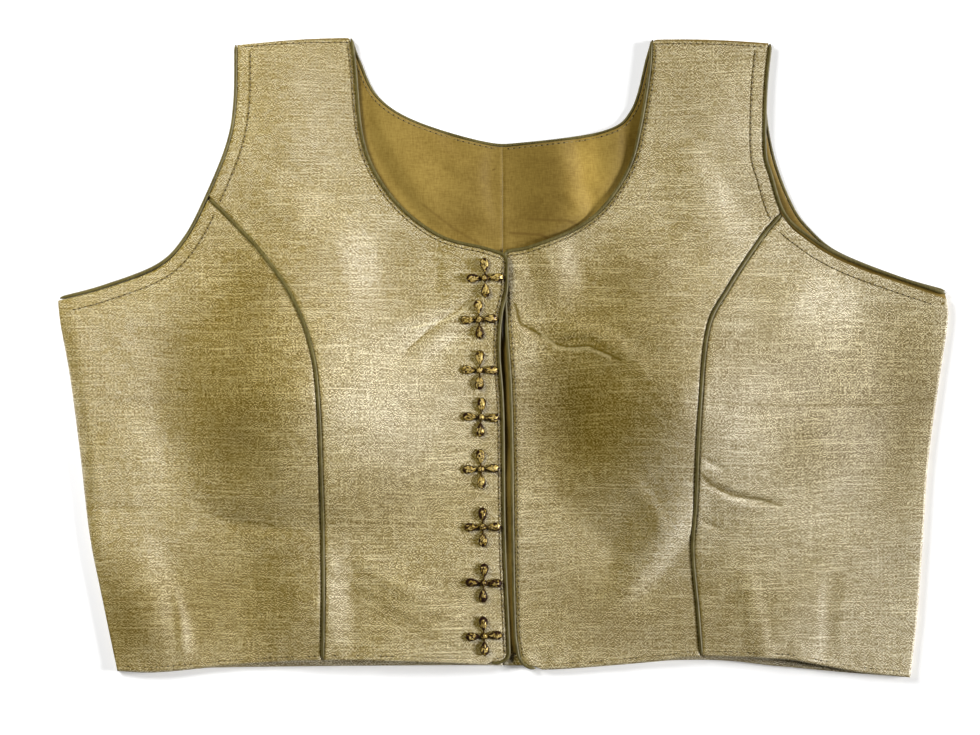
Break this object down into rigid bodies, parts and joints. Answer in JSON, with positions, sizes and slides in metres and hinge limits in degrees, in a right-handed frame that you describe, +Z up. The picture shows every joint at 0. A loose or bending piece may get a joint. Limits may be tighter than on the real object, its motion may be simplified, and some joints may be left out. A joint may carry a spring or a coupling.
{
  "type": "choli blouse",
  "caption": "Sleeveless princess-seamed choli blouse of slubbed silk, lying flat, with a piped round neck, a hooked front and a line of cross-shaped stone brooches.",
  "frame": {"origin": "centre of the garment's bounding box, on the surface that it lies on", "axes": "+X to the wearer's left, which is the picture's right; +Y to the shoulders; +Z up from the surface, out of the front"},
  "size_m": [0.4885, 0.3519, 0.0331],
  "materials": {
    "silk": "slubbed raw silk with a soft champagne sheen",
    "lining": "plain matt golden cotton",
    "piping": "olive satin over cord",
    "gilt": "gilt claws and cups",
    "stone": "faceted champagne crystal on foil"
  },
  "bodies": {
    "root": {"back_right": "silk", "back_left": "silk", "back_hem_right": "silk", "back_hem_left": "silk", "back_lining_right": "lining", "back_lining_left": "lining", "front_centre_right": "silk", "front_side_right": "silk", "front_centre_left": "silk", "front_side_left": "silk", "piping_front_right": "piping", "piping_front_left": "piping", "piping_neck_back": "piping", "piping_princess_right": "piping", "piping_princess_left": "piping", "piping_armhole_front_right": "piping", "piping_armhole_front_left": "piping", "piping_armhole_back_right": "piping", "piping_armhole_back_left": "piping", "brooch_1": "gilt", "brooch_2": "gilt", "brooch_3": "gilt", "brooch_4": "gilt", "brooch_5": "gilt", "brooch_6": "gilt", "brooch_7": "gilt", "brooch_8": "gilt"}
  },
  "joints": []
}
